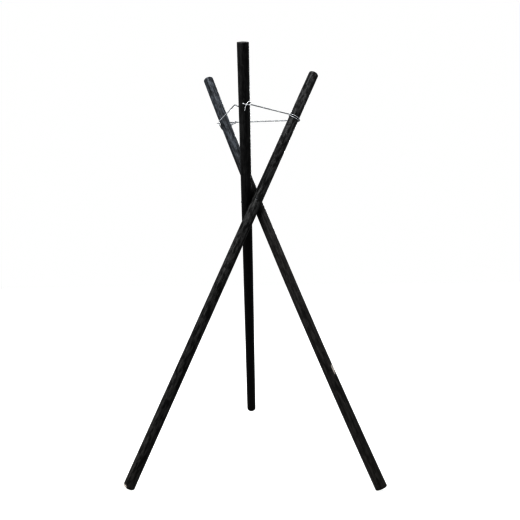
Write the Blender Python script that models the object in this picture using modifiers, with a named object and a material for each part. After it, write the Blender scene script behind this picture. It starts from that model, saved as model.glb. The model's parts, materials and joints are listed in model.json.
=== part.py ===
"""Three-pole tripod stand: round poles that cross at two wood screws and are tied by one wire.

Lengths are in metres and angles in degrees unless a name says otherwise; +Z is up. The origin is
on the floor, at the middle of the stand's outline. Each leg is one straight length of pole, from
its foot on the floor to its square-cut top, and the three poles cross two thirds of the way up.
The right pole is the middle one of the three: the left pole and the back pole are each screwed to
it, and swing on their screws when the stand is gathered up. Above the crossing one steel wire runs
round all three poles, and stops the legs from spreading.
"""

import math

import bmesh
import bpy
from mathutils import Matrix, Vector

# Poles
POLE_LENGTH = 1.200
POLE_RADIUS = 0.0140
POLE_SIDES = 32
FOOT_ROUND = 0.0025
FOOT_SEGMENTS = 4
TOP_ROUND = 0.0010
TOP_SEGMENTS = 2
RIGHT_POLE_SAG = 0.011
SAG_STEPS = 14
GAP = 0.0003

# Mesh limits: points closer than this are one point, and edges this sharp stay sharp, in degrees
WELD_DISTANCE = 0.000001
SMOOTH_BELOW = 40
RIM_ABOVE = 60

# How each pole leans: its tilt from the vertical, and the compass angle that its top points to
RIGHT_LEAN = (26.8, 141.4)
LEFT_LEAN = (27.3, 29.8)
BACK_LEAN = (29.9, -89.7)

# Where the other two poles meet the right pole, measured along it from its foot
LEFT_CROSSING = 0.772
BACK_CROSSING = 0.788

# Wood screws: the head sits on a small flat cut in the outer pole, the point bites the right pole;
# the dome of the head ends at DOME_EDGE degrees above its base
SCREW_RADIUS = 0.0022
SCREW_CORE_RADIUS = 0.0016
SCREW_HEAD_RADIUS = 0.0042
SCREW_HEAD_HEIGHT = 0.0024
DOME_STEPS = 5
DOME_EDGE = 15
SCREW_DEPTH = 0.0050
SCREW_POINT = 0.0030
THREAD_PITCH = 0.0018
THREAD_RIDGES = 9
SLOT_WIDTH = 0.0009
SLOT_DEPTH = 0.0009
FLAT_DEPTH = 0.0012
FLAT_RADIUS = 0.0048
TURNED_STEPS = 24

# Wire. Each stop on a pole is (distance along the pole from its foot, angle round it, height of
# the wire's centre above where it would hug the pole); the angle is 0 towards +X, 90 to the rear.
WIRE_RADIUS = 0.00125
WIRE_SIDES = 8
HUG_RADIUS = POLE_RADIUS + GAP + WIRE_RADIUS
STEPS_BETWEEN_STOPS = 4
LEAD = 0.0040

# The end that comes round the rear of the back pole, humps up and hangs down over the other end
LOOPING_END_STOPS = (
    (1.0518, 158, 0.0012), (1.0535, 130, 0.0002), (1.0565, 90, 0.0), (1.0595, 50, 0.0),
    (1.0615, 15, 0.0), (1.0645, -18, 0.0002), (1.0676, -45, 0.0010), (1.0664, -58, 0.0024),
    (1.0622, -70, 0.0030), (1.0578, -77, 0.0018), (1.0525, -82, 0.0005), (1.0458, -85, 0.0003),
)
KINK = (1.0530, 147, 0.0145)
KINK_SHOULDER = (1.0537, 147, 0.0103)
KINK_LEAD = 0.0060

# The end that comes from the left pole and lies across the front of the back pole
CROSSING_END_STOPS = (
    (1.0582, -8, 0.0012), (1.0588, -35, 0.0004), (1.0602, -60, 0.0), (1.0616, -80, 0.0),
    (1.0632, -97, 0.0), (1.0638, -106, 0.0004),
)

# A turn and a half on the left pole, the second turn below the first across the front
LEFT_POLE_STOPS = (
    (1.0502, -158, 0.0010), (1.0485, -125, 0.0), (1.0472, -90, 0.0), (1.0465, -55, 0.0),
    (1.0468, -20, 0.0006), (1.0482, 8, 0.0018), (1.0512, 40, 0.0004), (1.0535, 85, 0.0),
    (1.0528, 130, 0.0), (1.0500, 170, 0.0), (1.0468, 205, 0.0), (1.0434, 235, 0.0),
    (1.0410, 265, 0.0), (1.0404, 295, 0.0), (1.0417, 330, 0.0), (1.0442, 362, 0.0010),
    (1.0478, 395, 0.0003), (1.0508, 438, 0.0),
)

# The hitch on the right pole. The wire arrives behind the pole, turns down its left edge and goes
# back behind it; after the hook round the arriving wire it passes behind once more, climbs the
# left edge and leaves across the front.
RIGHT_POLE_ARRIVING_STOPS = (
    (1.0553, 82, 0.0), (1.0556, 115, 0.0), (1.0548, 145, 0.0012), (1.0528, 172, 0.0058),
    (1.0488, 184, 0.0046), (1.0436, 188, 0.0026), (1.0386, 184, 0.0008), (1.0348, 168, 0.0),
    (1.0320, 135, 0.0), (1.0304, 95, 0.0), (1.0304, 55, 0.0), (1.0330, 12, 0.0006),
)
RIGHT_POLE_LEAVING_STOPS = (
    (1.0384, 22, 0.0012), (1.0371, 58, 0.0), (1.0363, 95, 0.0), (1.0362, 130, 0.0),
    (1.0373, 165, 0.0), (1.0402, 192, 0.0), (1.0446, 202, 0.0), (1.0495, 202, 0.0),
    (1.0528, 197, 0.0),
)
HOOK_DISTANCE = 0.030
HOOK_LENGTH = 0.004
HOOK_RADIUS = 2 * WIRE_RADIUS + GAP
HOOK_TURN = 324
HOOK_STEPS = 10

BLACK_PAINT = ("black_painted_wood", (0.018, 0.018, 0.020), 0.45, 0.0)
SCREW_PAINT = ("black_painted_steel", (0.030, 0.030, 0.032), 0.40, 0.6)
ZINC_WIRE = ("galvanised_wire", (0.42, 0.43, 0.44), 0.40, 1.0)


class Pole:
    """One pole's centre line, from its foot to its top, with a slight set where it sags."""

    def __init__(self, foot, lean, sag=0.0):
        tilt, azimuth = map(math.radians, lean)
        self.foot = foot
        self.direction = direction_of(lean)
        self.sag = sag
        self.sag_direction = Vector((
            math.cos(tilt) * math.cos(azimuth),
            math.cos(tilt) * math.sin(azimuth),
            -math.sin(tilt),
        ))

    def point(self, along):
        share = along / POLE_LENGTH
        dip = self.sag * 4 * share * (1 - share)
        return self.foot + self.direction * along + self.sag_direction * dip

    def tangent(self, along):
        slope = self.sag * 4 * (1 - 2 * along / POLE_LENGTH) / POLE_LENGTH
        return (self.direction + self.sag_direction * slope).normalized()

    def sides(self, along):
        """Two directions square to the pole: towards +X, and a quarter turn on, seen from the top."""
        tangent = self.tangent(along)
        first = (Vector((1, 0, 0)) - tangent * tangent.x).normalized()
        return first, tangent.cross(first)

    def around(self, along, angle, radius):
        first, second = self.sides(along)
        turn = math.radians(angle)
        return self.point(along) + radius * (math.cos(turn) * first + math.sin(turn) * second)


def direction_of(lean):
    tilt, azimuth = map(math.radians, lean)
    level = math.sin(tilt)
    return Vector((level * math.cos(azimuth), level * math.sin(azimuth), math.cos(tilt)))


def foot_height(lean):
    """Height of the foot's centre when the worn, rounded rim of the foot rests on the floor."""
    tilt = math.radians(lean[0])
    return (POLE_RADIUS - FOOT_ROUND) * math.sin(tilt) + FOOT_ROUND * (1 - math.cos(tilt))


def crossing_pole(carrier, along, lean):
    """A pole that lies against the carrier's front, and the pivot (point, axis) between the two."""
    direction = direction_of(lean)
    axis = carrier.tangent(along).cross(direction).normalized()
    if axis.y > 0:
        axis.negate()
    pivot = carrier.point(along)
    beside = pivot + axis * (2 * POLE_RADIUS + GAP)
    foot = beside - direction * ((beside.z - foot_height(lean)) / direction.z)
    return Pole(foot, lean), pivot, axis


def end_reach(pole, along, side):
    """The lowest and highest x (side 0) or y (side 1) of one square-cut end."""
    centre = pole.point(along)[side]
    reach = POLE_RADIUS * math.sqrt(1 - pole.tangent(along)[side] ** 2)
    return centre - reach, centre + reach


def outline_middle(poles):
    middle = []
    for side in (0, 1):
        reaches = [end_reach(pole, along, side) for pole in poles for along in (0, POLE_LENGTH)]
        lowest = min(low for low, high in reaches)
        highest = max(high for low, high in reaches)
        middle.append((lowest + highest) / 2)
    return Vector((middle[0], middle[1], 0))


def lay_out():
    """The three poles and two pivots, moved so that the outline's middle is over the origin."""
    right = Pole(Vector((0, 0, foot_height(RIGHT_LEAN))), RIGHT_LEAN, RIGHT_POLE_SAG)
    left, left_pivot, left_axis = crossing_pole(right, LEFT_CROSSING, LEFT_LEAN)
    back, back_pivot, back_axis = crossing_pole(right, BACK_CROSSING, BACK_LEAN)
    middle = outline_middle((right, left, back))
    for pole in (right, left, back):
        pole.foot = pole.foot - middle
    return right, left, back, (left_pivot - middle, left_axis), (back_pivot - middle, back_axis)


def clear_scene():
    for item in list(bpy.data.objects):
        bpy.data.objects.remove(item, do_unlink=True)


def new_collection(name):
    collection = bpy.data.collections.new(name)
    bpy.context.scene.collection.children.link(collection)
    return collection


def material(finish):
    name, colour, roughness, metallic = finish
    made = bpy.data.materials.get(name) or bpy.data.materials.new(name)
    made.use_nodes = True
    shader = made.node_tree.nodes["Principled BSDF"]
    shader.inputs["Base Color"].default_value = (*colour, 1)
    shader.inputs["Roughness"].default_value = roughness
    shader.inputs["Metallic"].default_value = metallic
    return made


def tube(name, points, radius, sides, finish, collection):
    """A round bar along the points, with closed ends, as a bevelled curve."""
    curve = bpy.data.curves.new(name, "CURVE")
    curve.dimensions = "3D"
    curve.bevel_depth = radius
    curve.bevel_resolution = sides // 2 - 2
    curve.use_fill_caps = True
    spline = curve.splines.new("POLY")
    spline.points.add(len(points) - 1)
    for slot, point in zip(spline.points, points):
        slot.co = (*point, 1)
    item = bpy.data.objects.new(name, curve)
    item.data.materials.append(material(finish))
    collection.objects.link(item)
    return item


def as_mesh(item, collection):
    """The same bar as a welded mesh, which can be bevelled and cut."""
    bpy.context.view_layer.update()
    evaluated = item.evaluated_get(bpy.context.evaluated_depsgraph_get())
    mesh = bpy.data.meshes.new_from_object(evaluated)
    name, matrix = item.name, item.matrix_world.copy()
    bpy.data.objects.remove(item, do_unlink=True)
    solid = bpy.data.objects.new(name, mesh)
    solid.matrix_world = matrix
    collection.objects.link(solid)
    weld(mesh)
    mesh.shade_smooth()
    mesh.set_sharp_from_angle(angle=math.radians(SMOOTH_BELOW))
    return solid


def weld(mesh):
    work = bmesh.new()
    work.from_mesh(mesh)
    bmesh.ops.remove_doubles(work, verts=work.verts, dist=WELD_DISTANCE)
    bmesh.ops.recalc_face_normals(work, faces=work.faces)
    work.to_mesh(mesh)
    work.free()


def round_end(mesh, centre, width, segments):
    """Rounds the rim of the square-cut end whose middle is at the centre."""
    work = bmesh.new()
    work.from_mesh(mesh)
    rim = [
        edge for edge in work.edges
        if edge.calc_face_angle() > math.radians(RIM_ABOVE)
        and (edge.verts[0].co - centre).length < 2 * POLE_RADIUS
    ]
    bmesh.ops.bevel(
        work, geom=rim, offset=width, segments=segments, profile=0.5, affect="EDGES",
    )
    work.to_mesh(mesh)
    work.free()


def turned(name, profile, origin, axis, finish, collection):
    """A solid of revolution about the axis; the profile's (radius, height) points run downwards."""
    mesh = bpy.data.meshes.new(name)
    edges = [(i, i + 1) for i in range(len(profile) - 1)]
    mesh.from_pydata([(radius, 0, height) for radius, height in profile], edges, [])
    item = bpy.data.objects.new(name, mesh)
    item.location = origin
    item.rotation_mode = "QUATERNION"
    item.rotation_quaternion = axis.to_track_quat("Z", "Y")
    collection.objects.link(item)
    screw = item.modifiers.new("turn", "SCREW")
    screw.axis = "Z"
    screw.steps = TURNED_STEPS
    screw.render_steps = TURNED_STEPS
    screw.use_merge_vertices = True
    screw.merge_threshold = WELD_DISTANCE
    if finish:
        mesh.materials.append(material(finish))
    return item


def cut(item, cutter):
    cutter.hide_render = True
    cutter.display_type = "WIRE"
    boolean = item.modifiers.new("cut", "BOOLEAN")
    boolean.operation = "DIFFERENCE"
    boolean.solver = "EXACT"
    boolean.object = cutter


def pole_solid(name, pole, collection):
    steps = SAG_STEPS if pole.sag else 1
    points = [pole.point(POLE_LENGTH * i / steps) for i in range(steps + 1)]
    bar = tube(name, points, POLE_RADIUS, POLE_SIDES, BLACK_PAINT, collection)
    solid = as_mesh(bar, collection)
    round_end(solid.data, pole.point(0), FOOT_ROUND, FOOT_SEGMENTS)
    round_end(solid.data, pole.point(POLE_LENGTH), TOP_ROUND, TOP_SEGMENTS)
    return solid


def joint_empty(name, position, collection):
    empty = bpy.data.objects.new(name, None)
    empty.location = position
    collection.objects.link(empty)
    return empty


def hang_on(item, empty):
    item.parent = empty
    item.matrix_parent_inverse = Matrix.Translation(-empty.location)


# Heights along a pivot, measured from the right pole's centre line towards the outer pole
OUTER_CENTRE = 2 * POLE_RADIUS + GAP
FLAT_HEIGHT = OUTER_CENTRE + POLE_RADIUS - FLAT_DEPTH
HEAD_BASE = FLAT_HEIGHT + GAP
SURFACE_CLEARANCE = 0.003


def outer_hole_profile():
    """Clearance hole through the outer pole, with the flat for the screw's head."""
    top = OUTER_CENTRE + POLE_RADIUS + SURFACE_CLEARANCE
    bottom = POLE_RADIUS - SURFACE_CLEARANCE
    hole = SCREW_RADIUS + GAP
    return [
        (0, top), (FLAT_RADIUS, top), (FLAT_RADIUS, FLAT_HEIGHT),
        (hole, FLAT_HEIGHT), (hole, bottom), (0, bottom),
    ]


def pilot_hole_profile():
    """Blind hole in the right pole, a little longer than the screw's point reaches."""
    top = POLE_RADIUS + SURFACE_CLEARANCE
    bottom = -SCREW_DEPTH - SCREW_POINT - GAP
    hole = SCREW_RADIUS + GAP
    return [(0, top), (hole, top), (hole, bottom), (0, bottom)]


def screw_profile():
    """A round-headed wood screw: domed head, plain shank, ridged thread and point."""
    dome = [(0, HEAD_BASE + SCREW_HEAD_HEIGHT)]
    dome_radius = SCREW_HEAD_RADIUS / math.cos(math.radians(DOME_EDGE))
    for i in range(1, DOME_STEPS + 1):
        turn = math.radians(90 - (90 - DOME_EDGE) * i / DOME_STEPS)
        dome.append((dome_radius * math.cos(turn), HEAD_BASE + SCREW_HEAD_HEIGHT * math.sin(turn)))
    thread_top = -SCREW_DEPTH + THREAD_RIDGES * THREAD_PITCH
    profile = dome + [
        (SCREW_HEAD_RADIUS, HEAD_BASE),
        (SCREW_RADIUS, HEAD_BASE),
        (SCREW_RADIUS, thread_top + THREAD_PITCH),
    ]
    for i in range(THREAD_RIDGES):
        root = thread_top - i * THREAD_PITCH
        profile.append((SCREW_CORE_RADIUS, root))
        profile.append((SCREW_RADIUS, root - THREAD_PITCH / 2))
    profile.append((SCREW_CORE_RADIUS, -SCREW_DEPTH))
    profile.append((0, -SCREW_DEPTH - SCREW_POINT))
    return profile


def slot_cutter(name, pivot, axis, cutters):
    """A flat bar across the screw's head, which cuts its driver slot."""
    bpy.ops.mesh.primitive_cube_add(size=1)
    bar = bpy.context.object
    bar.name = name
    for collection in list(bar.users_collection):
        collection.objects.unlink(bar)
    cutters.objects.link(bar)
    bar.data.transform(Matrix.Diagonal((SCREW_HEAD_RADIUS * 3, SLOT_WIDTH, SLOT_DEPTH * 2, 1)))
    bar.rotation_mode = "QUATERNION"
    bar.rotation_quaternion = axis.to_track_quat("Z", "Y")
    bar.location = pivot + axis * (HEAD_BASE + SCREW_HEAD_HEIGHT)
    return bar


def screw_joint(side, outer_pole, right_pole, pivot, axis, parts, cutters):
    """Bores both poles on the pivot's axis and puts the screw in."""
    hole = turned(side + "_clearance_cutter", outer_hole_profile(), pivot, axis, None, cutters)
    pilot = turned(side + "_pilot_cutter", pilot_hole_profile(), pivot, axis, None, cutters)
    cut(outer_pole, hole)
    cut(right_pole, pilot)
    name = side + "_pivot_screw"
    screw = turned(name, screw_profile(), pivot, axis, SCREW_PAINT, parts)
    cut(screw, slot_cutter(side + "_slot_cutter", pivot, axis, cutters))
    return screw


def curve_through(stops, steps):
    """Points on a smooth Catmull-Rom curve through the stops, which are vectors of any kind."""
    points = []
    last = len(stops) - 1
    for i in range(last):
        before = stops[max(i - 1, 0)]
        here = stops[i]
        there = stops[i + 1]
        after = stops[min(i + 2, last)]
        for step in range(steps):
            t = step / steps
            points.append((
                here * 2
                + (there - before) * t
                + (before * 2 - here * 5 + there * 4 - after) * t ** 2
                + (here * 3 - before - there * 3 + after) * t ** 3
            ) / 2)
    points.append(stops[last])
    return points


def round_pole(pole, stops, steps=STEPS_BETWEEN_STOPS):
    """The wire's points along the stops on one pole."""
    curve = curve_through([Vector(stop) for stop in stops], steps)
    return [pole.around(along, angle, HUG_RADIUS + lift) for along, angle, lift in curve]


def toward(start, end, distance):
    return start + (end - start).normalized() * distance


def hook_round(wire_start, wire_end, before, after):
    """A hook round a straight wire: most of a helix turn, joined to the points on each side."""
    axis = (wire_end - wire_start).normalized()
    centre = wire_start + axis * HOOK_DISTANCE
    first = (before - centre).cross(axis).cross(axis).normalized() * -1
    second = axis.cross(first)
    turn = []
    for i in range(HOOK_STEPS + 1):
        share = i / HOOK_STEPS
        angle = math.radians(HOOK_TURN * share)
        radial = math.cos(angle) * first + math.sin(angle) * second
        turn.append(centre + axis * HOOK_LENGTH * share + radial * HOOK_RADIUS)
    return curve_through([before] + turn + [after], 2)[2:-2]


def looping_end(back, arrival):
    """From the right pole: a sharp kink beside the back pole, then round its rear to the tie."""
    kink, shoulder = round_pole(back, (KINK, KINK_SHOULDER), 1)
    rest = round_pole(back, LOOPING_END_STOPS)
    return [toward(kink, arrival, KINK_LEAD), kink, shoulder] + rest


def crossing_end(back, arrival):
    points = round_pole(back, CROSSING_END_STOPS)
    return [toward(points[0], arrival, LEAD)] + points


def hitch(right, arrival, departure):
    """The whole hitch on the right pole, from the left pole's span to the back pole's span."""
    arriving = round_pole(right, RIGHT_POLE_ARRIVING_STOPS)
    leaving = round_pole(right, RIGHT_POLE_LEAVING_STOPS)
    hook = hook_round(arriving[0], arrival, arriving[-1], leaving[0])
    lead_in = toward(arriving[0], arrival, LEAD + HOOK_DISTANCE + HOOK_LENGTH)
    lead_out = toward(leaving[-1], departure, LEAD)
    return [lead_in] + arriving + hook + leaving + [lead_out]


def span(start, end):
    """A straight run of wire between two ends, a hair short of each."""
    return [toward(start, end, GAP), toward(end, start, GAP)]


def wire_routes(right, left, back):
    """Every stretch of the wire, by name, in the order that it runs."""
    left_turns = round_pole(left, LEFT_POLE_STOPS)
    right_start = right.around(*RIGHT_POLE_ARRIVING_STOPS[0][:2], HUG_RADIUS)
    right_end = right.around(*RIGHT_POLE_LEAVING_STOPS[-1][:2], HUG_RADIUS)
    crossing = crossing_end(back, left_turns[0])
    looping = looping_end(back, right_end)
    lead_in = toward(left_turns[0], crossing[0], LEAD)
    lead_out = toward(left_turns[-1], right_start, LEAD)
    left_turns = [lead_in] + left_turns + [lead_out]
    right_hitch = hitch(right, left_turns[-1], looping[0])
    return {
        "wire_crossing_end": crossing,
        "wire_span_back_to_left": span(crossing[0], left_turns[0]),
        "wire_turns_on_left_pole": left_turns,
        "wire_span_left_to_right": span(left_turns[-1], right_hitch[0]),
        "wire_hitch_on_right_pole": right_hitch,
        "wire_span_right_to_back": span(right_hitch[-1], looping[0]),
        "wire_looping_end": looping,
    }


def build():
    clear_scene()
    parts = new_collection("three_pole_tripod_stand")
    cutters = new_collection("cutters")
    right, left, back, (left_pivot, left_axis), (back_pivot, back_axis) = lay_out()
    right_pole = pole_solid("right_pole", right, parts)
    left_pole = pole_solid("left_pole", left, parts)
    back_pole = pole_solid("back_pole", back, parts)
    screw_joint("left", left_pole, right_pole, left_pivot, left_axis, parts, cutters)
    screw_joint("back", back_pole, right_pole, back_pivot, back_axis, parts, cutters)
    left_joint = joint_empty("left_pole_joint", left_pivot, parts)
    back_joint = joint_empty("back_pole_joint", back_pivot, parts)
    hang_on(left_pole, left_joint)
    hang_on(back_pole, back_joint)
    riders = {
        "wire_turns_on_left_pole": left_joint,
        "wire_span_left_to_right": left_joint,
        "wire_crossing_end": back_joint,
        "wire_looping_end": back_joint,
        "wire_span_back_to_left": back_joint,
        "wire_span_right_to_back": back_joint,
    }
    for name, points in wire_routes(right, left, back).items():
        wire = tube(name, points, WIRE_RADIUS, WIRE_SIDES, ZINC_WIRE, parts)
        if name in riders:
            hang_on(wire, riders[name])


build()
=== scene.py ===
"""The looks of the three-pole tripod stand: its painted poles, its screws and its tie wire.

Lengths are in metres and angles in degrees unless a name says otherwise. The poles' centre lines
come from the frame's mounts, and the pivots from its joints. A place on a pole is given as the
distance along it from its foot and the angle round it: 0 towards +X, 90 to the rear, -90 in front.
"""

import json
import math
from functools import partial

import bpy
from mathutils import Matrix, Quaternion, Vector, noise


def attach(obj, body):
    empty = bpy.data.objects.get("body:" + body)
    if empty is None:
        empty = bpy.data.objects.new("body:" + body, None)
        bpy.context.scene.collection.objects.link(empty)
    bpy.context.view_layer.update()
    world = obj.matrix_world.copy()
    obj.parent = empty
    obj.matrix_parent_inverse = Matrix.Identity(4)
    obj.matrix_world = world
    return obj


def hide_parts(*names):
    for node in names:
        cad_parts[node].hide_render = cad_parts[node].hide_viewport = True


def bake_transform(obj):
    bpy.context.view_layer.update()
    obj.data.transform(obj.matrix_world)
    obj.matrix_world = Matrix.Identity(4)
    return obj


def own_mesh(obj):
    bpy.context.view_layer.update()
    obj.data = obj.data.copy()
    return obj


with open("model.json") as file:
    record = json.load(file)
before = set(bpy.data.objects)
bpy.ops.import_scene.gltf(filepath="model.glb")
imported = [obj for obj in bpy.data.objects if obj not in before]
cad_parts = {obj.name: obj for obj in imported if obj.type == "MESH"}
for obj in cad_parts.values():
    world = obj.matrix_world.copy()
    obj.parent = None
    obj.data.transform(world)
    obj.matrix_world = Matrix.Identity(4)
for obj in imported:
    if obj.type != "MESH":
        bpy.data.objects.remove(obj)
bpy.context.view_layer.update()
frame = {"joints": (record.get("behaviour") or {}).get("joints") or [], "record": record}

MOUNTS = {mount["name"]: mount for mount in frame["record"]["mounts"]}
JOINTS = {joint["name"]: joint for joint in frame["joints"]}

# Poles
POLE_LENGTH = 1.200
POLE_RADIUS = 0.0140
POLE_SIDES = 96
RING_STEP = 0.005
FLAT_RING_STEP = 0.0006
CHIP_RING_STEP = 0.0009
RINGS_PER_SPOT = 14
STEP_GROWTH = 0.4
FACE_RINGS = 9
RIM_STEPS = 5
LEAST_RADIUS = 0.0003
FOOT_ROUND = 0.0027
WAVE_DEPTH = 0.00005
RIPPLE_DEPTH = 0.00003
END_SCUFF = 0.5
FLAT_SCUFF = 0.6
GAP = 0.0003

# Screws, with heights measured along the pivot from the right pole's centre line
SCREW_RADIUS = 0.0022
SCREW_HEAD_RADIUS = 0.0042
SCREW_HEAD_HEIGHT = 0.0024
FLAT_DEPTH = 0.0012
FLAT_RADIUS = 0.0048
FLAT_HEIGHT = 3 * POLE_RADIUS + GAP - FLAT_DEPTH
HEAD_BASE = FLAT_HEIGHT + GAP

# Wire
WIRE_RADIUS = 0.00125
WIRE_SIDES = 14
HUG_RADIUS = POLE_RADIUS + GAP + WIRE_RADIUS
STEPS_BETWEEN_STOPS = 10
LEAD = 0.0040


# ---------------------------------------------------------------------------------------------
# Centre lines

class Pole:
    """A pole's centre line: a shallow curve from its foot to its top, straight on two of them."""

    def __init__(self, side):
        foot_face = MOUNTS[side + "_foot_face"]
        self.foot = Vector(foot_face["pos_m"])
        self.top = Vector(MOUNTS[side + "_top_face"]["pos_m"])
        start = -Vector(foot_face["axis"]).normalized()
        chord = self.top - self.foot
        self.middle = self.foot + start * chord.length / 2 / start.dot(chord.normalized())

    def point(self, along):
        share = along / POLE_LENGTH
        return (
            self.foot * (1 - share) ** 2
            + self.middle * 2 * share * (1 - share)
            + self.top * share ** 2
        )

    def tangent(self, along):
        share = along / POLE_LENGTH
        slope = (self.middle - self.foot) * (1 - share) + (self.top - self.middle) * share
        return slope.normalized()

    def sides(self, along):
        """Two directions square to the pole: towards +X, and a quarter turn on, seen from the top."""
        tangent = self.tangent(along)
        first = (Vector((1, 0, 0)) - tangent * tangent.x).normalized()
        return first, tangent.cross(first)

    def around(self, along, angle, radius):
        first, second = self.sides(along)
        turn = math.radians(angle)
        return self.point(along) + radius * (math.cos(turn) * first + math.sin(turn) * second)

    def local_frame(self):
        """The frame whose origin is at the foot, with Z along the chord."""
        z = (self.top - self.foot).normalized()
        x = (Vector((1, 0, 0)) - z * z.x).normalized()
        y = z.cross(x)
        turned = Matrix((x, y, z)).transposed().to_4x4()
        return Matrix.Translation(self.foot) @ turned


RIGHT = Pole("right")
LEFT = Pole("left")
BACK = Pole("back")


def smooth(edge, full, value):
    """0 at the edge, 1 at full, and an even curve between them."""
    share = min(max((value - edge) / (full - edge), 0), 1)
    return share * share * (3 - 2 * share)


def angle_between(first, second):
    """The angle from one direction round a pole to another, from -180 to 180."""
    return (first - second + 180) % 360 - 180


# ---------------------------------------------------------------------------------------------
# Node material kit

class Shader:
    """A material's node tree, with short calls for the nodes that the materials here use."""

    def __init__(self, name, place_attribute=None):
        self.material = bpy.data.materials.new(name)
        self.material.use_nodes = True
        self.nodes = self.material.node_tree.nodes
        self.links = self.material.node_tree.links
        self.principled = self.nodes["Principled BSDF"]
        if place_attribute:
            self.place = self.attribute(place_attribute, "Vector")
        else:
            self.place = self.nodes.new("ShaderNodeTexCoord").outputs["Object"]

    def plug(self, value, socket):
        if isinstance(value, bpy.types.NodeSocket):
            self.links.new(value, socket)
        else:
            socket.default_value = value

    def set(self, **values):
        for name, value in values.items():
            self.plug(value, self.principled.inputs[name.replace("_", " ")])

    def attribute(self, name, output="Fac"):
        node = self.nodes.new("ShaderNodeAttribute")
        node.attribute_name = name
        return node.outputs[output]

    def stretched(self, scale):
        """The surface's place on its piece, scaled along each axis."""
        node = self.nodes.new("ShaderNodeMapping")
        self.plug(self.place, node.inputs["Vector"])
        node.inputs["Scale"].default_value = scale
        return node.outputs["Vector"]

    def noise(self, place, scale, detail=3.0, roughness=0.55, distortion=0.0):
        node = self.nodes.new("ShaderNodeTexNoise")
        self.plug(place, node.inputs["Vector"])
        node.inputs["Scale"].default_value = scale
        node.inputs["Detail"].default_value = detail
        node.inputs["Roughness"].default_value = roughness
        node.inputs["Distortion"].default_value = distortion
        return node.outputs["Fac"]

    def layer(self, stretch, *texture):
        """A noise texture that is drawn out along the grain."""
        return self.noise(self.stretched(stretch), *texture)

    def math(self, operation, first, second, clamp=False):
        node = self.nodes.new("ShaderNodeMath")
        node.operation = operation
        node.use_clamp = clamp
        self.plug(first, node.inputs[0])
        self.plug(second, node.inputs[1])
        return node.outputs["Value"]

    def times(self, first, second):
        return self.math("MULTIPLY", first, second)

    def range(self, value, low, high, to_low=0.0, to_high=1.0):
        """The value, eased from to_low where it is low to to_high where it is high."""
        node = self.nodes.new("ShaderNodeMapRange")
        node.interpolation_type = "SMOOTHSTEP"
        self.plug(value, node.inputs["Value"])
        node.inputs["From Min"].default_value = low
        node.inputs["From Max"].default_value = high
        node.inputs["To Min"].default_value = to_low
        node.inputs["To Max"].default_value = to_high
        return node.outputs["Result"]

    def mix(self, share, first, second):
        node = self.nodes.new("ShaderNodeMix")
        node.data_type = "RGBA"
        self.plug(share, node.inputs["Factor"])
        for value, socket in ((first, node.inputs[6]), (second, node.inputs[7])):
            self.plug((*value, 1) if isinstance(value, tuple) else value, socket)
        return node.outputs[2]

    def along(self):
        """The distance along the pole, in metres."""
        node = self.nodes.new("ShaderNodeSeparateXYZ")
        self.plug(self.place, node.inputs[0])
        return node.outputs["Z"]

    def bump(self, height, distance, strength, under=None):
        node = self.nodes.new("ShaderNodeBump")
        node.inputs["Strength"].default_value = strength
        node.inputs["Distance"].default_value = distance
        self.plug(height, node.inputs["Height"])
        if under is not None:
            self.plug(under, node.inputs["Normal"])
        return node.outputs["Normal"]


# ---------------------------------------------------------------------------------------------
# Materials

# Noise in the paint: (stretch along each axis, scale, detail, roughness, distortion)
FINE_GRAIN = ((1, 1, 0.025), 1500, 4, 0.6)
BROAD_GRAIN = ((1, 1, 0.045), 330, 3, 0.55, 0.4)
BRUSH_MARKS = ((1, 1, 0.12), 700, 2, 0.5)
PATCHES = ((1, 1, 0.30), 70, 3, 0.6)
BLOTCHES = ((1, 1, 0.34), 150, 3, 0.6, 0.3)
SPECKS = (900, 2, 0.7)

BLACK = (0.0, 0.0, 0.0)
RUBBED_SHEEN = (0.25, 0.25, 0.26)
DUST = (0.087, 0.071, 0.053)
SCUFFED_PAINT = (0.186, 0.180, 0.167)
BARE_WOOD = ((0.26, 0.235, 0.217), (0.60, 0.57, 0.54))
PAINT_ROUGHNESS = (0.46, 0.62)
BARE_ROUGHER = 0.3
GRAIN_HEIGHT = 0.00045
FINE_GRAIN_HEIGHT = 0.00018

SCREW_PAINT = (0.034, 0.035, 0.037)
# Bright steel where the paint is worn, also used as a painted glint
SCREW_WORN_AND_GLINT = (0.58, 0.59, 0.60)
SCREW_ROUGHNESS = (0.34, 0.50)
SCREW_GLOSS = 0.22

DULL_ZINC = ((0.150, 0.155, 0.160), (0.285, 0.290, 0.300))
# The brighter zinc is a painted highlight
ZINC_HIGHLIGHT = ((0.446, 0.452, 0.459), (0.583, 0.589, 0.595))
ZINC_FLECK = (0.155, 0.155, 0.155)
ZINC_ROUGHNESS = (0.46, 0.62)
ZINC_METALLIC = 0.45
ZINC_GLOSS = 0.31


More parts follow.
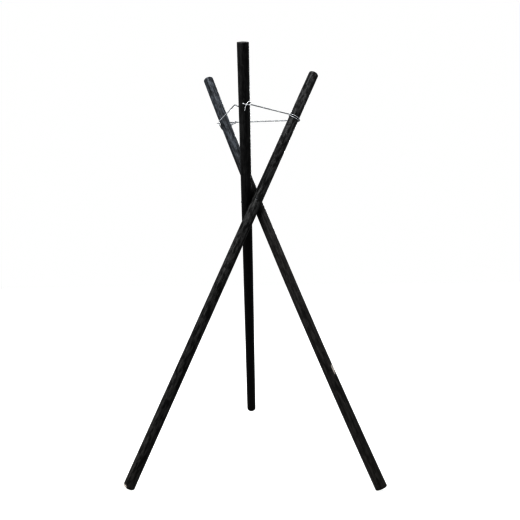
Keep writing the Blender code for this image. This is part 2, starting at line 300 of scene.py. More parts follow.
def painted_wood(name, low_colour, high_colour, fade, dusty, mottle, gloss):
    """Thin black paint brushed on wood. The paint goes from the foot's colour to the top's over
    the fade range along the pole; its lighter top is partly weathered paint and partly painted
    light falling from above. dusty is how far the dust reaches up from the foot, and mottle is
    how much darker its blotches are."""
    shader = Shader(name, "grain_place")
    fine_grain = shader.layer(*FINE_GRAIN)
    broad_grain = shader.layer(*BROAD_GRAIN)
    brush = shader.layer(*BRUSH_MARKS)
    patches = shader.layer(*PATCHES)
    specks = shader.noise(shader.place, *SPECKS)
    blotches = shader.layer(*BLOTCHES)
    along = shader.along()

    # Lighter towards the top: partly weathered paint, partly painted light from above
    paint = shader.mix(shader.range(along, *fade), low_colour, high_colour)
    dark = shader.mix(0.55, paint, BLACK)
    paint = shader.mix(shader.range(broad_grain, 0.36, 0.62), dark, paint)
    dull = shader.mix(mottle, paint, BLACK)
    paint = shader.mix(shader.range(blotches, 0.40, 0.57), dull, paint)
    # Patches worn by rubbing, lightened a little as a painted sheen
    light = shader.mix(0.10, paint, RUBBED_SHEEN)
    wear_and_highlight = shader.times(
        shader.range(fine_grain, 0.56, 0.74), shader.range(patches, 0.42, 0.66),
    )
    paint = shader.mix(wear_and_highlight, paint, light)
    dust = shader.times(shader.range(along, dusty, 0.0), shader.range(specks, 0.46, 0.66))
    paint = shader.mix(shader.times(dust, 0.25), paint, DUST)
    scuffed = shader.times(shader.attribute("scuff"), shader.range(fine_grain, 0.40, 0.62))
    paint = shader.mix(shader.times(scuffed, 0.5), paint, SCUFFED_PAINT)
    bare = shader.times(shader.attribute("bare"), shader.range(specks, 0.30, 0.55))
    colour = shader.mix(bare, paint, shader.mix(broad_grain, *BARE_WOOD))

    roughness = shader.range(patches, 0.35, 0.70, *PAINT_ROUGHNESS)
    roughness = shader.math("ADD", roughness, shader.times(bare, BARE_ROUGHER), clamp=True)
    height = shader.math("ADD", shader.times(broad_grain, 0.6), shader.times(brush, 0.4))
    normal = shader.bump(height, GRAIN_HEIGHT, 0.55)
    normal = shader.bump(fine_grain, FINE_GRAIN_HEIGHT, 0.5, normal)
    shader.set(Base_Color=colour, Roughness=roughness, Normal=normal, Specular_IOR_Level=gloss)
    return shader.material


def painted_steel():
    """A screw head painted over with the poles: thick soft paint, worn to bright steel on the rim,
    which also stands in for a painted glint.
    """
    shader = Shader("painted_screw_steel")
    lumps = shader.noise(shader.place, 1200, 2)
    worn = shader.times(shader.attribute("worn"), shader.range(lumps, 0.40, 0.60))
    shader.set(
        Base_Color=shader.mix(worn, SCREW_PAINT, SCREW_WORN_AND_GLINT),
        Metallic=shader.times(worn, 0.3),
        Roughness=shader.range(lumps, 0.3, 0.7, *SCREW_ROUGHNESS),
        Normal=shader.bump(lumps, 0.00015, 0.5),
        Specular_IOR_Level=SCREW_GLOSS,
    )
    return shader.material


def zinc_wire():
    """Galvanised wire: a patchy skin with flecks, brighter where a painted highlight is laid on its
    front and dull elsewhere.
    """
    shader = Shader("galvanised_wire")
    patches = shader.noise(shader.place, 420, 3, 0.6)
    flecks = shader.noise(shader.place, 2600, 2, 0.6)
    patchy = shader.range(patches, 0.35, 0.65)
    dull = shader.mix(patchy, *DULL_ZINC)
    bright = shader.mix(patchy, *ZINC_HIGHLIGHT)
    # Painted highlight: the brighter zinc where the mask is high, on the wire's front
    skin = shader.mix(shader.attribute("wear_and_highlight"), dull, bright)
    flecked = shader.times(shader.range(flecks, 0.58, 0.72), 0.3)
    shader.set(
        Base_Color=shader.mix(flecked, skin, ZINC_FLECK),
        Metallic=ZINC_METALLIC,
        Specular_IOR_Level=ZINC_GLOSS,
        Roughness=shader.range(patches, 0.3, 0.7, *ZINC_ROUGHNESS),
        Normal=shader.bump(flecks, 0.00008, 0.5),
    )
    return shader.material


# ---------------------------------------------------------------------------------------------
# Poles

class Spot:
    """A small mark on a pole: a dent, knot, nick or split, long along the pole and wide round it."""

    def __init__(self, along, angle, length, width, depth=0.0, bare=0.0, scuff=0.0, sharp=False):
        self.along = along
        self.angle = angle
        self.length = length
        self.width = width
        self.depth = depth
        self.bare = bare
        self.scuff = scuff
        self.sharp = sharp

    def share(self, along, angle):
        """1 at the spot's middle, falling to 0 at its rim."""
        over = (along - self.along) / (self.length / 2)
        aside = math.radians(angle_between(angle, self.angle)) * POLE_RADIUS / (self.width / 2)
        distance = math.hypot(over, aside)
        if self.sharp:
            return max(0.0, 1 - distance)
        return smooth(1, 0, distance)


class PoleLook:
    """What makes one pole itself: its rims, marks, material and the noise that shapes it."""

    def __init__(self, seed, foot_round, top_round, spots, foot_chip=None, pivot=None):
        self.seed = seed
        self.foot_round = foot_round
        self.top_round = top_round
        self.spots = spots
        self.foot_chip = foot_chip
        self.pivot = pivot


def ring_levels(look):
    """Distances along the pole of its rings, from rim to rim, closer together at the marks."""
    levels = []
    along = look.foot_round
    end = POLE_LENGTH - look.top_round
    fine = [(spot.along, spot.length / 2, spot.length / RINGS_PER_SPOT) for spot in look.spots]
    if look.pivot:
        fine.append((look.pivot[0], FLAT_RADIUS * 1.4, FLAT_RING_STEP))
    if look.foot_chip:
        fine.append((look.foot_chip[0] / 2, look.foot_chip[0] / 2, CHIP_RING_STEP))
    while along < end - RING_STEP / 3:
        levels.append(along)
        step = RING_STEP
        for middle, half, small in fine:
            away = abs(along - middle) - half
            step = min(step, small + max(away, 0) * STEP_GROWTH)
        along += step
    levels.append(end)
    return levels


def rim_rounding(width):
    """(distance from the cut face, loss of radius) down a quarter-round rim, from side to face."""
    turns = [math.radians(90 * i / RIM_STEPS) for i in range(1, RIM_STEPS + 1)]
    return [(width * (1 - math.sin(turn)), width * (1 - math.cos(turn))) for turn in turns]


def wobble(look, along, angle):
    """How far the surface lies under the full radius: shallow waves left by drawing the pole."""
    turn = math.radians(angle)
    place = Vector((math.cos(turn) * 0.8, math.sin(turn) * 0.8, along * 9 + look.seed))
    ripple = Vector((math.cos(turn) * 2.6, math.sin(turn) * 2.6, along * 30 + look.seed))
    return WAVE_DEPTH * (1 + noise.noise(place)) + RIPPLE_DEPTH * (1 + noise.noise(ripple))


def chip_depth(look, along, angle):
    """The splintered part of a foot's rim: how deep it is broken away, and how bare it is."""
    reach, angle_from, angle_to, depth = look.foot_chip
    turn = angle % 360
    across = smooth(angle_from, angle_from + 30, turn) * smooth(angle_to, angle_to - 25, turn)
    teeth = 0.55 + 0.45 * noise.noise(Vector((angle * 0.11, along * 90, look.seed)))
    share = across * max(0.0, 1 - along / (reach * teeth))
    return depth * share ** 0.8, smooth(0.02, 0.25, share)


def flat_cut(look, point):
    """The point, moved down to the flat that the screw's head sits on if it is over it."""
    _, pivot, axis = look.pivot
    from_pivot = point - pivot
    height = from_pivot.dot(axis)
    radius = (from_pivot - axis * height).length
    if height > FLAT_HEIGHT and radius < FLAT_RADIUS:
        return point - axis * (height - FLAT_HEIGHT), 1.0
    return point, 0.0


def pole_rings(look):
    """(distance along the pole, radius) of every ring, from the middle of the foot to the top's."""
    foot_flat = POLE_RADIUS - look.foot_round
    top_flat = POLE_RADIUS - look.top_round
    foot_face = [(0.0, foot_flat * i / FACE_RINGS) for i in range(1, FACE_RINGS)]
    foot_rounding = reversed(rim_rounding(look.foot_round))
    foot_rim = [(depth, POLE_RADIUS - loss) for depth, loss in foot_rounding]
    shaft = [(along, POLE_RADIUS) for along in ring_levels(look)]
    top_rounding = rim_rounding(look.top_round)
    top_rim = [(POLE_LENGTH - depth, POLE_RADIUS - loss) for depth, loss in top_rounding]
    top_face = [(POLE_LENGTH, top_flat * i / FACE_RINGS) for i in range(FACE_RINGS - 1, 0, -1)]
    return foot_face + foot_rim + shaft + top_rim + top_face


def skin_faces(ring_count, sides):
    """Quads between rings, and a fan at each end to the two middle points that come last."""
    faces = []
    for ring in range(ring_count - 1):
        start = ring * sides
        for i in range(sides):
            after = (i + 1) % sides
            faces.append((start + i, start + after, start + sides + after, start + sides + i))
    first_middle = ring_count * sides
    last_ring = (ring_count - 1) * sides
    for i in range(sides):
        after = (i + 1) % sides
        faces.append((after, i, first_middle))
        faces.append((last_ring + i, last_ring + after, first_middle + 1))
    return faces


def surface_point(pole, look, along, angle, radius):
    """A point of the pole's worn surface, with how bare and how scuffed it is."""
    sink = wobble(look, along, angle) if radius > POLE_RADIUS / 2 else 0.0
    lift = 0.0
    bare = 0.0
    scuff = END_SCUFF if along in (0.0, POLE_LENGTH) else 0.0
    for spot in look.spots:
        share = spot.share(along, angle)
        sink += spot.depth * share
        bare = max(bare, spot.bare * min(1.0, share * 2.2))
        scuff = max(scuff, spot.scuff * share)
    if look.foot_chip and along < look.foot_chip[0]:
        depth, chip_bare = chip_depth(look, along, angle)
        rim_share = smooth(0.25, 1.0, radius / POLE_RADIUS)
        sink += depth * rim_share
        lift = depth * rim_share * 0.5
        bare = max(bare, chip_bare * rim_share)
    point = pole.around(along + lift, angle, max(radius - sink, LEAST_RADIUS))
    if look.pivot and abs(along - look.pivot[0]) < 2 * FLAT_RADIUS:
        point, cut = flat_cut(look, point)
        scuff = max(scuff, cut * FLAT_SCUFF)
    return point, bare, scuff


def pole_piece(side, pole, look, wood):
    """One pole as a fine closed mesh, with its place along and across the grain as an attribute."""
    to_grain = pole.local_frame().inverted()
    rings = pole_rings(look)
    surface = [
        surface_point(pole, look, along, 360 * i / POLE_SIDES - 180, radius)
        for along, radius in rings for i in range(POLE_SIDES)
    ]
    surface += [(pole.point(along), 0.0, END_SCUFF) for along in (0.0, POLE_LENGTH)]
    mesh = bpy.data.meshes.new(side + "_pole_wood")
    mesh.from_pydata([point for point, _, _ in surface], [], skin_faces(len(rings), POLE_SIDES))
    add_values(mesh, "bare", [bare for _, bare, _ in surface])
    add_values(mesh, "scuff", [scuff for _, _, scuff in surface])
    places = mesh.attributes.new("grain_place", "FLOAT_VECTOR", "POINT")
    for item, (point, _, _) in zip(places.data, surface):
        item.vector = to_grain @ point
    mesh.shade_smooth()
    piece = bpy.data.objects.new(mesh.name, mesh)
    finish_piece(piece, wood, side + "_pole", side + "_leg")


def add_values(mesh, name, values):
    attribute = mesh.attributes.new(name, "FLOAT", "POINT")
    attribute.data.foreach_set("value", values)


def stand_for(node):
    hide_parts(node)


def finish_piece(piece, material, node, body):
    """Links the piece to the scene, gives it its material, and lets it ride in its node's place."""
    bpy.context.scene.collection.objects.link(piece)
    piece.data.materials.append(material)
    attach(piece, body)
    stand_for(node)


def pivot_of(joint_name, pole):
    """The pivot's (distance along the outer pole, point, axis towards the outer pole)."""
    joint = JOINTS[joint_name]
    point = Vector(joint["pos_m"])
    axis = Vector(joint["axis"]).normalized()
    start, end = pole.point(0), pole.point(POLE_LENGTH)
    chord = (end - start).normalized()
    return (point + axis * (2 * POLE_RADIUS + GAP) - start).dot(chord), point, axis


LEFT_PIVOT = pivot_of("left_leg_fold", LEFT)
BACK_PIVOT = pivot_of("back_leg_fold", BACK)

RIGHT_LOOK = PoleLook(
    seed=3.1,
    foot_round=FOOT_ROUND,
    top_round=0.0014,
    spots=[
        Spot(0.290, -36, 0.026, 0.0120, 0.0014, bare=1.0, sharp=True),
        Spot(0.280, -46, 0.014, 0.0060, 0.0007, bare=0.9, sharp=True),
        Spot(0.930, -120, 0.030, 0.0070, 0.0003, scuff=0.5),
        Spot(0.610, -60, 0.016, 0.0080, -0.0001, scuff=0.5),
    ],
)
LEFT_LOOK = PoleLook(
    seed=11.7,
    foot_round=FOOT_ROUND,
    top_round=0.0016,
    foot_chip=(0.012, 170, 268, 0.0013),
    pivot=LEFT_PIVOT,
    spots=[
        Spot(1.120, -70, 0.050, 0.0040, 0.0002, scuff=0.4),
        Spot(1.010, -80, 0.036, 0.0030, 0.0003, scuff=0.2),
        Spot(0.420, -60, 0.014, 0.0070, 0.0002, scuff=0.4),
    ],
)
BACK_LOOK = PoleLook(
    seed=24.3,
    foot_round=FOOT_ROUND,
    top_round=0.0008,
    pivot=BACK_PIVOT,
    spots=[
        Spot(1.074, -93, 0.009, 0.0050, 0.0004, scuff=1.0),
        Spot(1.152, -102, 0.009, 0.0055, 0.0004, scuff=0.9),
        Spot(1.032, -80, 0.034, 0.0016, 0.0006, sharp=True),
        Spot(0.887, -106, 0.020, 0.0075, 0.0003, scuff=0.5),
    ],
)

# The poles share one black paint; their different colours are partly painted light, each pole made
# lighter or darker by how the light falls on it
RIGHT_WOOD = painted_wood(
    "right_pole_paint",
    low_colour=(0.047, 0.045, 0.043),
    high_colour=(0.087, 0.094, 0.104),
    fade=(0.82, 0.98),
    dusty=0.22,
    mottle=0.48,
    gloss=0.17,
)
LEFT_WOOD = painted_wood(
    "left_pole_paint",
    low_colour=(0.051, 0.050, 0.048),
    high_colour=(0.077, 0.077, 0.077),
    fade=(0.10, 1.10),
    dusty=0.16,
    mottle=0.75,
    gloss=0.14,
)
# Painted shade: the back pole is made almost black, as its front faces down and away from the light
BACK_WOOD = painted_wood(
    "back_pole_paint",
    low_colour=(0.007, 0.007, 0.007),
    high_colour=(0.038, 0.038, 0.038),
    fade=(0.66, 0.98),
    dusty=0.12,
    mottle=0.60,
    gloss=0.21,
)

pole_piece("right", RIGHT, RIGHT_LOOK, RIGHT_WOOD)
pole_piece("left", LEFT, LEFT_LOOK, LEFT_WOOD)
pole_piece("back", BACK, BACK_LOOK, BACK_WOOD)


# ---------------------------------------------------------------------------------------------
# Screws

SCREW_SIDES = 48
DOME_STEPS = 10
DOME_EDGE = 15
SHANK_END = -0.006
SLOT_WIDTH = 0.0009
SLOT_DEPTH = 0.0009
EDGE_BEVEL = 0.00012
BEVEL_ABOVE = 40
SHARP_ABOVE = 35
# The side of the head whose rim is made bright as a painted glint: down and left
WORN_AND_GLINT_SIDE = Vector((-0.60, 0, -0.80))


def lathe(name, profile, sides):
    """A closed solid of revolution about Z; the profile's (radius, height) points run downwards."""
    rings = profile[1:-1]
    verts = [
        (radius * math.cos(math.tau * i / sides), radius * math.sin(math.tau * i / sides), height)
        for radius, height in reversed(rings) for i in range(sides)
    ]
    verts += [(0, 0, profile[-1][1]), (0, 0, profile[0][1])]
    mesh = bpy.data.meshes.new(name)
    mesh.from_pydata(verts, [], skin_faces(len(rings), sides))
    return bpy.data.objects.new(name, mesh)


def screw_piece(side, joint_name, wear_and_glint):
    """A round-headed screw with a driver slot, its edges softened by thick paint. Its shank is
    plain, because it never shows."""
    joint = JOINTS[joint_name]
    axis = Vector(joint["axis"]).normalized()
    dome_radius = SCREW_HEAD_RADIUS / math.cos(math.radians(DOME_EDGE))
    profile = []
    for i in range(DOME_STEPS + 1):
        turn = math.radians(90 - (90 - DOME_EDGE) * i / DOME_STEPS)
        profile.append((dome_radius * math.cos(turn), HEAD_BASE + SCREW_HEAD_HEIGHT * math.sin(turn)))
    profile += [
        (SCREW_HEAD_RADIUS, HEAD_BASE),
        (SCREW_RADIUS, HEAD_BASE),
        (SCREW_RADIUS, SHANK_END + SCREW_RADIUS),
        (0, SHANK_END),
    ]
    screw = lathe(side + "_screw", profile, SCREW_SIDES)
    bpy.context.scene.collection.objects.link(screw)
    bpy.ops.mesh.primitive_cube_add(size=1)
    slot = bpy.context.object
    slot.data.transform(Matrix.Diagonal((SCREW_HEAD_RADIUS * 3, SLOT_WIDTH, SLOT_DEPTH * 2, 1)))
    slot.location = (0, 0, HEAD_BASE + SCREW_HEAD_HEIGHT)
    cut = screw.modifiers.new("slot", "BOOLEAN")
    cut.operation = "DIFFERENCE"
    cut.object = slot
    soften = screw.modifiers.new("soften", "BEVEL")
    soften.width = EDGE_BEVEL
    soften.segments = 2
    soften.limit_method = "ANGLE"
    soften.angle_limit = math.radians(BEVEL_ABOVE)
    bpy.context.view_layer.update()
    evaluated = screw.evaluated_get(bpy.context.evaluated_depsgraph_get())
    mesh = bpy.data.meshes.new_from_object(evaluated)
    for item in (screw, slot):
        bpy.data.objects.remove(item)
    turned = axis.to_track_quat("Z", "Y")
    middle = Vector((0, 0, HEAD_BASE))
    worn = [wear_and_glint * rim_wear_and_glint(vertex.co, turned @ (vertex.co - middle)) for vertex in mesh.vertices]
    add_values(mesh, "worn", worn)
    mesh.transform(Matrix.Translation(Vector(joint["pos_m"])) @ turned.to_matrix().to_4x4())
    mesh.shade_smooth()
    mesh.set_sharp_from_angle(angle=math.radians(SHARP_ABOVE))
    piece = bpy.data.objects.new(side + "_screw", mesh)
    finish_piece(piece, SCREW_STEEL, side + "_pivot_screw", "right_leg")


def rim_wear_and_glint(place, outward):
    """How far the paint is worn off the head, and how much painted glint it gets: on the part of its
    rim that faces down and left.
    """
    rim = smooth(0.62, 0.90, math.hypot(place.x, place.y) / SCREW_HEAD_RADIUS)
    rim *= place.z > HEAD_BASE - GAP
    return rim * smooth(0.25, 0.80, outward.normalized().dot(WORN_AND_GLINT_SIDE))


SCREW_STEEL = painted_steel()
# The bright rim is partly worn paint and partly a painted glint; the back screw gets only a little of
# it
screw_piece("left", "left_leg_fold", 1.0)
screw_piece("back", "back_leg_fold", 0.2)


# ---------------------------------------------------------------------------------------------
# Tie wire. One wire runs round all three poles. Each stop on a pole is (distance along the pole
# from its foot, angle round it, height of the wire's centre above where it would hug the pole).

# The end that comes round the rear of the back pole, humps up and hangs down over the other end
LOOPING_END_STOPS = (
    (1.0518, 158, 0.0012), (1.0535, 130, 0.0002), (1.0565, 90, 0.0), (1.0595, 50, 0.0),
    (1.0615, 15, 0.0), (1.0645, -18, 0.0002), (1.0676, -45, 0.0010), (1.0664, -58, 0.0024),
    (1.0622, -70, 0.0030), (1.0578, -77, 0.0018), (1.0525, -82, 0.0005), (1.0458, -85, 0.0003),
)
KINK = (1.0530, 147, 0.0145)
KINK_SHOULDER = (1.0537, 147, 0.0103)
KINK_LEAD = 0.0060

# The end that comes from the left pole and lies across the front of the back pole
CROSSING_END_STOPS = (
    (1.0582, -8, 0.0012), (1.0588, -35, 0.0004), (1.0602, -60, 0.0), (1.0616, -80, 0.0),
    (1.0632, -97, 0.0), (1.0638, -106, 0.0004),
)

# A turn and a half on the left pole, the second turn below the first across the front
LEFT_POLE_STOPS = (
    (1.0502, -158, 0.0010), (1.0485, -125, 0.0), (1.0472, -90, 0.0), (1.0465, -55, 0.0),
    (1.0468, -20, 0.0006), (1.0482, 8, 0.0018), (1.0512, 40, 0.0004), (1.0535, 85, 0.0),
    (1.0528, 130, 0.0), (1.0500, 170, 0.0), (1.0468, 205, 0.0), (1.0434, 235, 0.0),
    (1.0410, 265, 0.0), (1.0404, 295, 0.0), (1.0417, 330, 0.0), (1.0442, 362, 0.0010),
    (1.0478, 395, 0.0003), (1.0508, 438, 0.0),
)

# The hitch on the right pole. The wire arrives behind the pole, turns down its left edge and goes
# back behind it; after the hook round the arriving wire it passes behind once more, climbs the
# left edge and leaves across the front.
RIGHT_POLE_ARRIVING_STOPS = (
    (1.0553, 82, 0.0), (1.0556, 115, 0.0), (1.0548, 145, 0.0012), (1.0528, 172, 0.0058),
    (1.0488, 184, 0.0046), (1.0436, 188, 0.0026), (1.0386, 184, 0.0008), (1.0348, 168, 0.0),
    (1.0320, 135, 0.0), (1.0304, 95, 0.0), (1.0304, 55, 0.0), (1.0330, 12, 0.0006),
)
RIGHT_POLE_LEAVING_STOPS = (
    (1.0384, 22, 0.0012), (1.0371, 58, 0.0), (1.0363, 95, 0.0), (1.0362, 130, 0.0),
    (1.0373, 165, 0.0), (1.0402, 192, 0.0), (1.0446, 202, 0.0), (1.0495, 202, 0.0),
    (1.0528, 197, 0.0),
)
HOOK_DISTANCE = 0.030
HOOK_LENGTH = 0.004
HOOK_RADIUS = 2 * WIRE_RADIUS + GAP
HOOK_TURN = 324
HOOK_STEPS = 10


def curve_through(stops, steps):
    """Points on a smooth Catmull-Rom curve through the stops, which are vectors of any kind."""
    points = []
    last = len(stops) - 1
    for i in range(last):
        before = stops[max(i - 1, 0)]
        here = stops[i]
        there = stops[i + 1]
        after = stops[min(i + 2, last)]
        for step in range(steps):
            t = step / steps
            points.append((
                here * 2
                + (there - before) * t
                + (before * 2 - here * 5 + there * 4 - after) * t ** 2
                + (here * 3 - before - there * 3 + after) * t ** 3
            ) / 2)
    points.append(stops[last])
    return points


def round_pole(pole, stops, steps=STEPS_BETWEEN_STOPS):
    """The wire's points along the stops on one pole."""
    curve = curve_through([Vector(stop) for stop in stops], steps)
    return [pole.around(along, angle, HUG_RADIUS + lift) for along, angle, lift in curve]


def toward(start, end, distance):
    return start + (end - start).normalized() * distance


def hook_round(wire_start, wire_end, before, after):
    """A hook round a straight wire: most of a helix turn, joined to the points on each side."""
    axis = (wire_end - wire_start).normalized()
    centre = wire_start + axis * HOOK_DISTANCE
    first = (before - centre).cross(axis).cross(axis).normalized() * -1
    second = axis.cross(first)
    turn = []
    for i in range(HOOK_STEPS + 1):
        share = i / HOOK_STEPS
        angle = math.radians(HOOK_TURN * share)
        radial = math.cos(angle) * first + math.sin(angle) * second
        turn.append(centre + axis * HOOK_LENGTH * share + radial * HOOK_RADIUS)
    return curve_through([before] + turn + [after], 4)[4:-4]


def wire_routes():
    """Every stretch of the wire, by its node's name."""
    left_turns = round_pole(LEFT, LEFT_POLE_STOPS)
    right_start = RIGHT.around(*RIGHT_POLE_ARRIVING_STOPS[0][:2], HUG_RADIUS)
    right_end = RIGHT.around(*RIGHT_POLE_LEAVING_STOPS[-1][:2], HUG_RADIUS)
    crossing = round_pole(BACK, CROSSING_END_STOPS)
    crossing = [toward(crossing[0], left_turns[0], LEAD)] + crossing
    kink, shoulder = round_pole(BACK, (KINK, KINK_SHOULDER), 1)
    looping = [toward(kink, right_end, KINK_LEAD), kink, shoulder]
    looping += round_pole(BACK, LOOPING_END_STOPS)
    lead_in = toward(left_turns[0], crossing[0], LEAD)
    lead_out = toward(left_turns[-1], right_start, LEAD)
    left_turns = [lead_in] + left_turns + [lead_out]
    arriving = round_pole(RIGHT, RIGHT_POLE_ARRIVING_STOPS)
    leaving = round_pole(RIGHT, RIGHT_POLE_LEAVING_STOPS)
    hook = hook_round(arriving[0], lead_out, arriving[-1], leaving[0])
    hitch_in = toward(arriving[0], lead_out, LEAD + HOOK_DISTANCE + HOOK_LENGTH)
    hitch_out = toward(leaving[-1], looping[0], LEAD)
    return {
        "wire_crossing_end": crossing,
        "wire_span_back_to_left": (crossing[0], lead_in),
        "wire_turns_on_left_pole": left_turns,
        "wire_span_left_to_right": (lead_out, hitch_in),
        "wire_hitch_on_right_pole": [hitch_in] + arriving + hook + leaving + [hitch_out],
        "wire_span_right_to_back": (hitch_out, looping[0]),
        "wire_looping_end": looping,
    }


WIRE_STEP = 0.0012
SPAN_STEP = 0.0040
SHORTEST_STEP = WIRE_RADIUS / 100
BEND_SOFTENING = 3
PINCH_LENGTH = 0.0014
PINCH_THINNEST = 0.22
CUT_SHARP_ABOVE = 50

# How strong the painted highlight on the wire's front is: on the spans, and how far it reaches from
# the right pole
SPAN_HIGHLIGHT = 0.10
HIGHLIGHT_REACH = 0.150
HIGHLIGHT_TIGHT = 0.004
HIGHLIGHT_LOOSE = 0.007


def even_steps(points, step):
    """The same route with a point about every step, its sharp bends rounded a little."""
    lengths = [0.0]
    for before, after in zip(points, points[1:]):
        lengths.append(lengths[-1] + (after - before).length)
    count = max(2, round(lengths[-1] / step))
    evened = []
    segment = 0
    for i in range(count + 1):
        target = lengths[-1] * i / count
        while segment < len(points) - 2 and lengths[segment + 1] < target:
            segment += 1
        long = max(lengths[segment + 1] - lengths[segment], SHORTEST_STEP)
        share = min((target - lengths[segment]) / long, 1.0)
        evened.append(points[segment].lerp(points[segment + 1], share))
    for _ in range(BEND_SOFTENING):
        middles = [
            (before + here * 2 + after) / 4
            for before, here, after in zip(evened, evened[1:], evened[2:])
        ]
        evened = [evened[0]] + middles + [evened[-1]]
    return evened


def highlight_on_pole(pole, vert, most):
    """How much painted highlight the wire's skin gets: where it lies tight across the front of its
    pole.
    """
    chord = (pole.top - pole.foot).normalized()
    outward = vert - pole.point((vert - pole.foot).dot(chord))
    front = smooth(0.10, 0.45, -outward.normalized().y)
    tight = smooth(HUG_RADIUS + HIGHLIGHT_LOOSE, HUG_RADIUS + HIGHLIGHT_TIGHT, outward.length)
    return most * front * tight


def highlight_near(place, reach, vert):
    """The same on a span: the full painted highlight up to the reach from the place, and only the
    faint span level beyond it.
    """
    near = smooth(reach, reach * 0.9, (vert - place).length)
    return max(SPAN_HIGHLIGHT, near)


def even_span_highlight(_vert):
    """The same on a span that gets only the faint span level of painted highlight all along."""
    return SPAN_HIGHLIGHT


def wire_mesh(name, points, step, wear_and_highlight, cut_end=False):
    """A round wire along the points; a cut end is pinched to a wedge, as cutters leave it. The
    mask function says how much painted highlight the skin gets at a point; it is laid on the
    front side only, and the side away from the front stays dull."""
    line = even_steps(points, step)
    last = len(line) - 1
    tangents = [
        (line[min(i + 1, last)] - line[max(i - 1, 0)]).normalized() for i in range(len(line))
    ]
    side = tangents[0].orthogonal().normalized()
    verts = []
    shares = []
    left = sum((after - before).length for before, after in zip(line, line[1:]))
    for i, (point, tangent) in enumerate(zip(line, tangents)):
        if i:
            left -= (point - line[i - 1]).length
        side = (side - tangent * side.dot(tangent)).normalized()
        other = tangent.cross(side)
        thin = 1.0
        if cut_end:
            thin = PINCH_THINNEST + (1 - PINCH_THINNEST) * smooth(0, PINCH_LENGTH, left)
        for k in range(WIRE_SIDES):
            turn = math.tau * k / WIRE_SIDES
            vert = point + WIRE_RADIUS * (math.cos(turn) * side + math.sin(turn) * thin * other)
            verts.append(vert)
            # Painted highlight: only on the side of the wire that faces the front
            shares.append(wear_and_highlight(vert) * smooth(-0.4, 0.4, (point - vert).y / WIRE_RADIUS))
    verts += [line[0], line[-1]]
    shares += [0.0, 0.0]
    mesh = bpy.data.meshes.new(name)
    mesh.from_pydata(verts, [], skin_faces(len(line), WIRE_SIDES))
    add_values(mesh, "wear_and_highlight", shares)
    mesh.shade_smooth()
    mesh.set_sharp_from_angle(angle=math.radians(CUT_SHARP_ABOVE))
    piece = bpy.data.objects.new(name, mesh)
    bpy.context.scene.collection.objects.link(piece)
    piece.data.materials.append(WIRE_ZINC)
    return piece


def swing(joint_name, point, way=1):
    """Where a point ends up when its joint swings from rest to its limit, or back with way -1."""
    joint = JOINTS[joint_name]
    pivot = Vector(joint["pos_m"])
    axis = Vector(joint["axis"]).normalized()
    angle = math.radians(JOINTS["left_leg_fold"]["range_deg"][1])
    for coupling in frame["record"]["behaviour"]["couplings"]:
        if coupling["joint"] == joint_name:
            angle *= coupling["ratio"]
    return pivot + Quaternion(axis, angle * way) @ (point - pivot)


def tie_wire():
    """Builds the wire's seven stretches: four ride on their poles, and three span between them."""
    routes = wire_routes()
    for node, body, pole, most, cut_end in (
        ("wire_crossing_end", "back_leg", BACK, 1.0, True),
        ("wire_looping_end", "back_leg", BACK, 1.0, True),
        ("wire_turns_on_left_pole", "left_leg", LEFT, 0.45, False),
        ("wire_hitch_on_right_pole", "right_leg", RIGHT, 1.0, False),
    ):
        # How much painted highlight each piece gets on its front
        wear_and_highlight = partial(highlight_on_pole, pole, most=most)
        piece = wire_mesh("tie_" + node, routes[node], WIRE_STEP, wear_and_highlight, cut_end)
        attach(piece, body)
        stand_for(node)
    right_place = routes["wire_span_right_to_back"][0]
    # The spans get a faint painted highlight, the one from the right pole a full one near that pole
    for node, first_body, second_body, wear_and_highlight in (
        ("wire_span_left_to_right", "left_leg", "right_leg", even_span_highlight),
        ("wire_span_right_to_back", "right_leg", "back_leg",
         partial(highlight_near, right_place, HIGHLIGHT_REACH)),
    ):
        start, end = routes[node]
        piece = wire_mesh("tie_" + node, (start, end), SPAN_STEP, wear_and_highlight)
        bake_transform(piece)
        stand_for(node)
    squashed_span("wire_span_back_to_left", *routes["wire_span_back_to_left"])


def squashed_span(node, start, end):
    """The span that rides on the back leg, with a mesh of its own."""
    piece = wire_mesh("tie_" + node, (start, end), SPAN_STEP, even_span_highlight)
    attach(piece, "back_leg")
    folded_end = swing("back_leg_fold", swing("left_leg_fold", end), -1)
    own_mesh(piece)
    stand_for(node)


WIRE_ZINC = zinc_wire()
tie_wire()


# ---------------------------------------------------------------------------------------------
# Camera, light and floor

CAMERA_PLACE = (0.0204, -1.4381, 0.5418)
CAMERA_LENS = 33.931
CAMERA_SENSOR = 36
CAMERA_DOWN = 0.245
CAMERA_ROLL = -0.701
FLOOR_HALF = 8.0

# Lights: (name, place, size, power); they all face the aim
AIM = Vector((0, 0, 0.75))
LIGHTS = (
    ("key_light", (-0.55, -1.25, 2.25), 0.8, 68),
    ("side_light", (-1.70, -1.10, 0.70), 0.9, 26),
    ("right_light", (1.60, -0.20, 2.10), 0.9, 35),
    ("rear_light", (0.40, 2.40, 1.50), 1.2, 55),
)

# The view's contrast, and how bright the room and the floor are
PRINT_GAMMA = 0.5
ROOM_COLOUR = (0.96, 0.98, 1.0, 1)
ROOM_LOW = 0.72
ROOM_HIGH = 1.37
FLOOR_GLOW = 0.93
FLOOR_LIT = 0.124
FLOOR_BOUNCE = 0.40


def studio_camera():
    data = bpy.data.cameras.new("camera")
    data.sensor_width = CAMERA_SENSOR
    data.lens = CAMERA_LENS
    camera = bpy.data.objects.new("camera", data)
    level = Quaternion((1, 0, 0), math.radians(90 - CAMERA_DOWN))
    camera.rotation_mode = "QUATERNION"
    camera.rotation_quaternion = level @ Quaternion((0, 0, 1), math.radians(CAMERA_ROLL))
    camera.location = CAMERA_PLACE
    bpy.context.scene.collection.objects.link(camera)
    bpy.context.scene.camera = camera


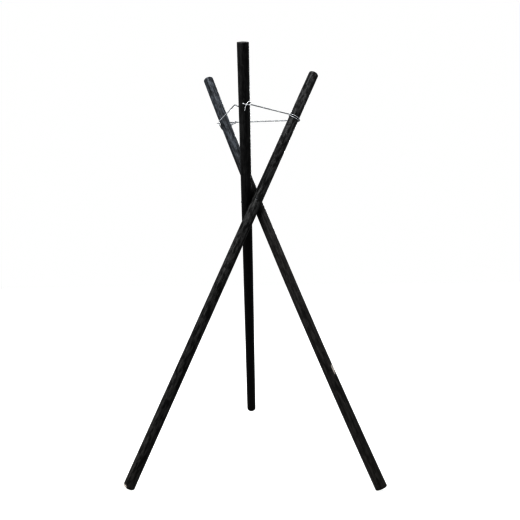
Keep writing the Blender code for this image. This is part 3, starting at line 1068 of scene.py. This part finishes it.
def studio_world():
    """White to look at, and a soft dim room to light by, brighter overhead."""
    world = bpy.data.worlds.new("white_studio")
    world.use_nodes = True
    nodes = world.node_tree.nodes
    links = world.node_tree.links
    seen = nodes["Background"]
    seen.inputs["Color"].default_value = (1, 1, 1, 1)
    direction = nodes.new("ShaderNodeTexCoord").outputs["Generated"]
    split = nodes.new("ShaderNodeSeparateXYZ")
    links.new(direction, split.inputs[0])
    rise = nodes.new("ShaderNodeMapRange")
    links.new(split.outputs["Z"], rise.inputs["Value"])
    rise.inputs["From Min"].default_value = 0.0
    rise.inputs["To Min"].default_value = ROOM_LOW
    rise.inputs["To Max"].default_value = ROOM_HIGH
    room = nodes.new("ShaderNodeBackground")
    room.inputs["Color"].default_value = ROOM_COLOUR
    links.new(rise.outputs["Result"], room.inputs["Strength"])
    either = nodes.new("ShaderNodeMixShader")
    links.new(nodes.new("ShaderNodeLightPath").outputs["Is Camera Ray"], either.inputs[0])
    links.new(room.outputs[0], either.inputs[1])
    links.new(seen.outputs[0], either.inputs[2])
    links.new(either.outputs[0], nodes["World Output"].inputs["Surface"])
    bpy.context.scene.world = world
    bpy.context.scene.view_settings.view_transform = "Standard"
    bpy.context.scene.view_settings.gamma = PRINT_GAMMA


def softbox(name, place, size, power):
    data = bpy.data.lights.new(name, "AREA")
    data.shape = "DISK"
    data.size = size
    data.energy = power
    lamp = bpy.data.objects.new(name, data)
    lamp.location = place
    lamp.rotation_mode = "QUATERNION"
    lamp.rotation_quaternion = (Vector(place) - AIM).to_track_quat("Z", "Y")
    bpy.context.scene.collection.objects.link(lamp)


def studio_floor():
    """A pale sweep: evenly lit as the camera sees it, and a dim grey floor to the object."""
    material = bpy.data.materials.new("pale_floor")
    material.use_nodes = True
    nodes = material.node_tree.nodes
    links = material.node_tree.links
    nodes.remove(nodes["Principled BSDF"])
    ray = nodes.new("ShaderNodeLightPath").outputs["Is Camera Ray"]
    glow = nodes.new("ShaderNodeEmission")
    glow.inputs["Strength"].default_value = FLOOR_GLOW
    lit = nodes.new("ShaderNodeBsdfDiffuse")
    lit.inputs["Color"].default_value = (*[FLOOR_LIT] * 3, 1)
    pale = nodes.new("ShaderNodeAddShader")
    links.new(glow.outputs[0], pale.inputs[0])
    links.new(lit.outputs[0], pale.inputs[1])
    dim = nodes.new("ShaderNodeBsdfDiffuse")
    dim.inputs["Color"].default_value = (*[FLOOR_BOUNCE] * 3, 1)
    either = nodes.new("ShaderNodeMixShader")
    links.new(ray, either.inputs[0])
    links.new(dim.outputs[0], either.inputs[1])
    links.new(pale.outputs[0], either.inputs[2])
    links.new(either.outputs[0], nodes["Material Output"].inputs["Surface"])
    return material


def studio_sweep():
    mesh = bpy.data.meshes.new("studio_floor")
    half = FLOOR_HALF
    corners = [(-half, -half, 0), (half, -half, 0), (half, half, 0), (-half, half, 0)]
    mesh.from_pydata(corners, [], [(0, 1, 2, 3)])
    floor = bpy.data.objects.new("studio_floor", mesh)
    floor.data.materials.append(studio_floor())
    bpy.context.scene.collection.objects.link(floor)


studio_camera()
studio_world()
for light in LIGHTS:
    softbox(*light)
studio_sweep()
